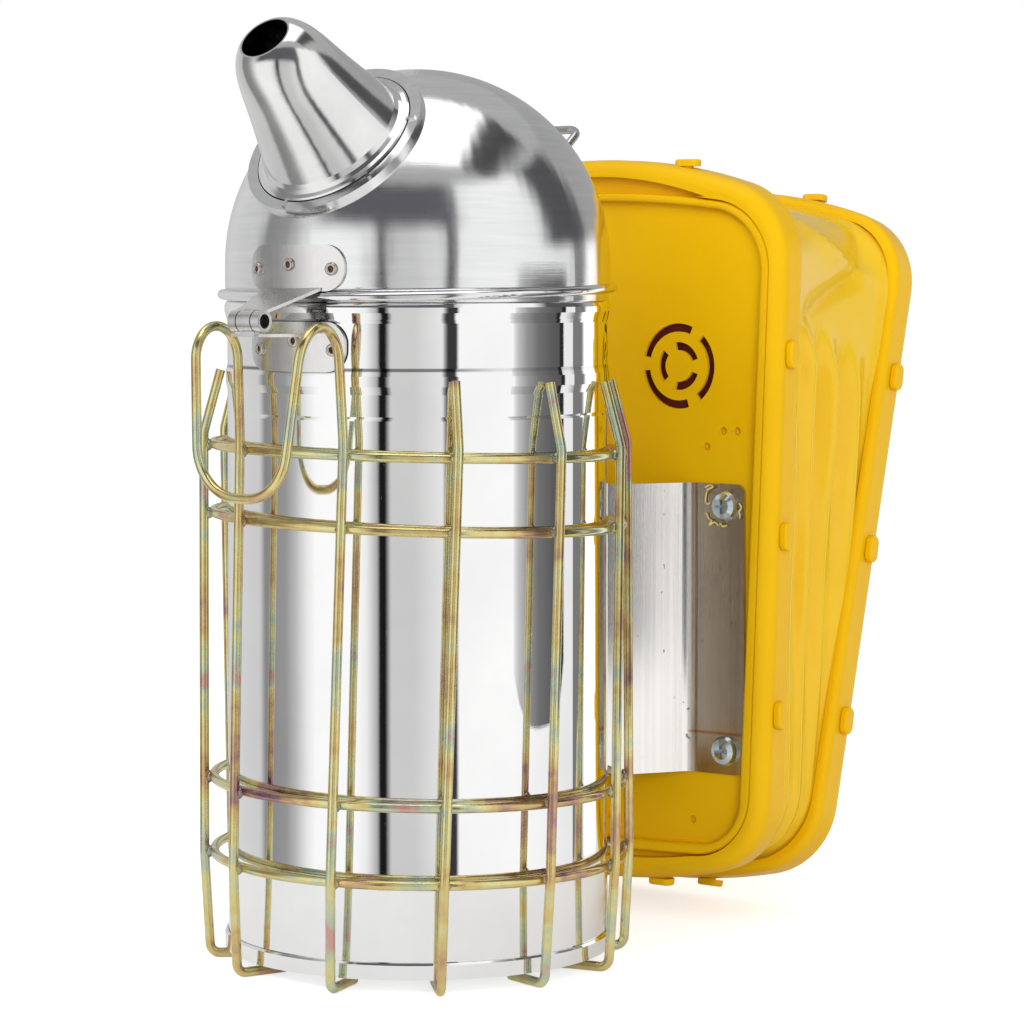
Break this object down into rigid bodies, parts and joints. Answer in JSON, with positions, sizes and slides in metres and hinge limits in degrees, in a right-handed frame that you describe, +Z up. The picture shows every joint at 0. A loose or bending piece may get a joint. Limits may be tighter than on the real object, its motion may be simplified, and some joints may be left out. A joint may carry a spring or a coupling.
{
  "type": "bee smoker",
  "caption": "Bee smoker: polished steel fire pot in a wire guard with a hanging hook, hinged domed lid with a tapered spout, and a wedge-shaped plastic hand bellows.",
  "frame": {"origin": "on the axis of the fire pot, in the plane that the wire feet stand on", "axes": "+Z up along the fire pot's axis; the spout, lid hinge and hook face -Y; the bellows is at +Y; +X is across"},
  "size_m": [0.126, 0.232, 0.2439],
  "materials": {
    "polished_steel": "mirror-polished stainless sheet",
    "spun_steel": "spun and finely brushed stainless",
    "satin_steel": "satin stainless",
    "leaf_steel": "bright sheet steel",
    "rivet_steel": "plated steel rivet",
    "handle_steel": "bright drawn wire",
    "passivated_wire": "yellow-passivated zinc on steel wire",
    "bracket_steel": "brushed stainless sheet",
    "screw_zinc": "blue-passivated zinc",
    "yellow_plastic": "satin moulded plastic",
    "yellow_vinyl": "soft slightly translucent vinyl",
    "spring_steel": "spring wire",
    "flap_rubber": "thin rubber",
    "plain_steel": "plain sheet steel"
  },
  "bodies": {
    "smoker_body": {"fire_pot": "polished_steel", "pot_base": "polished_steel", "air_inlet_tube": "plain_steel", "pot_hinge_leaf": "leaf_steel", "pot_hinge_rivets": "rivet_steel", "hinge_pin": "rivet_steel", "guard_ring_1": "passivated_wire", "guard_ring_2": "passivated_wire", "guard_ring_3": "passivated_wire", "guard_ring_4": "passivated_wire", "guard_hook_wire": "passivated_wire", "guard_upright_right_1": "passivated_wire", "guard_upright_left_1": "passivated_wire", "guard_upright_right_2": "passivated_wire", "guard_upright_left_2": "passivated_wire", "guard_upright_right_3": "passivated_wire", "guard_upright_left_3": "passivated_wire", "guard_upright_right_4": "passivated_wire", "guard_upright_left_4": "passivated_wire", "bellows_bracket": "bracket_steel", "bracket_rivets": "rivet_steel", "bracket_screws": "screw_zinc", "front_board": "yellow_plastic", "front_rim": "yellow_plastic", "front_pegs": "yellow_plastic", "air_nozzle": "yellow_plastic", "valve_stud": "rivet_steel", "bellows_skin": "yellow_vinyl", "bellows_spring": "spring_steel"},
    "lid": {"lid_dome": "spun_steel", "spout": "satin_steel", "lid_handle": "handle_steel", "lid_hinge_leaf": "leaf_steel", "lid_hinge_rivets": "rivet_steel"},
    "rear_plate": {"rear_board": "yellow_plastic", "rear_rim": "yellow_plastic", "rear_pegs": "yellow_plastic"},
    "intake_flap": {"valve_flap": "flap_rubber"},
    "grate": {"fuel_grate": "plain_steel"}
  },
  "joints": [
    {"name": "lid_hinge", "type": "hinge", "parent": "smoker_body", "child": "lid", "pos_m": [0, -0.0675, 0.1683], "axis": [1, 0, 0], "range_deg": [0, 100]},
    {"name": "bellows_squeeze", "type": "hinge", "parent": "smoker_body", "child": "rear_plate", "pos_m": [0, 0.108, 0.014], "axis": [1, 0, 0], "range_deg": [0, 12], "stiffness_Nm_per_rad": 4, "springref_deg": -5.73, "deforming": ["bellows_skin", "bellows_spring"]},
    {"name": "flap_swing", "type": "hinge", "parent": "smoker_body", "child": "intake_flap", "pos_m": [0.0258, 0.08755, 0.1727], "axis": [1, 0, 0], "range_deg": [0, 15]},
    {"name": "grate_lift", "type": "slide", "parent": "smoker_body", "child": "grate", "axis": [0, 0, 1], "range_m": [0, 0.12]}
  ]
}
